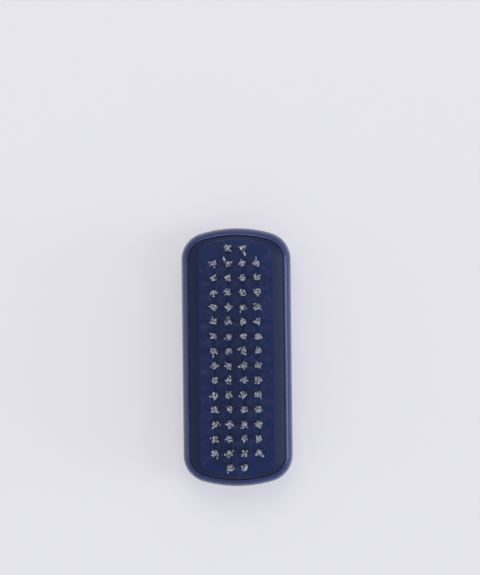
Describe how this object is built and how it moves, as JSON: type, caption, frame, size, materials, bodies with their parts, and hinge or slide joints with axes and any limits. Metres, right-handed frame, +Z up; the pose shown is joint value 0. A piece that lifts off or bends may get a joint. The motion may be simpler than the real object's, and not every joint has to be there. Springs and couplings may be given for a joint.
{
  "type": "nail brush",
  "caption": "Hand-held nail brush: a domed, waisted grip shell with a bowed-end bristle block seated in it, set with short upright tufts of stiff filament.",
  "frame": {"origin": "on the flat of the back, under the middle of the body, with the brush lying on its back", "axes": "+X across the body, +Y along the body, +Z up out of the bristles"},
  "size_m": [0.044, 0.104, 0.0367],
  "materials": {
    "shell_plastic": "polished navy moulding",
    "block_plastic": "polished navy moulding",
    "bristle_nylon": "translucent off-white filament, cut ends",
    "anchor_metal": "punched flat wire"
  },
  "bodies": {
    "root": {"grip_shell": "shell_plastic", "bristle_block": "block_plastic", "tuft_anchors": "anchor_metal", "tuft_row_01": "bristle_nylon", "tuft_row_02": "bristle_nylon", "tuft_row_03": "bristle_nylon", "tuft_row_04": "bristle_nylon", "tuft_row_05": "bristle_nylon", "tuft_row_06": "bristle_nylon", "tuft_row_07": "bristle_nylon", "tuft_row_08": "bristle_nylon", "tuft_row_09": "bristle_nylon", "tuft_row_10": "bristle_nylon", "tuft_row_11": "bristle_nylon", "tuft_row_12": "bristle_nylon", "tuft_row_13": "bristle_nylon", "tuft_row_14": "bristle_nylon", "tuft_row_15": "bristle_nylon", "tuft_row_16": "bristle_nylon"}
  },
  "joints": []
}
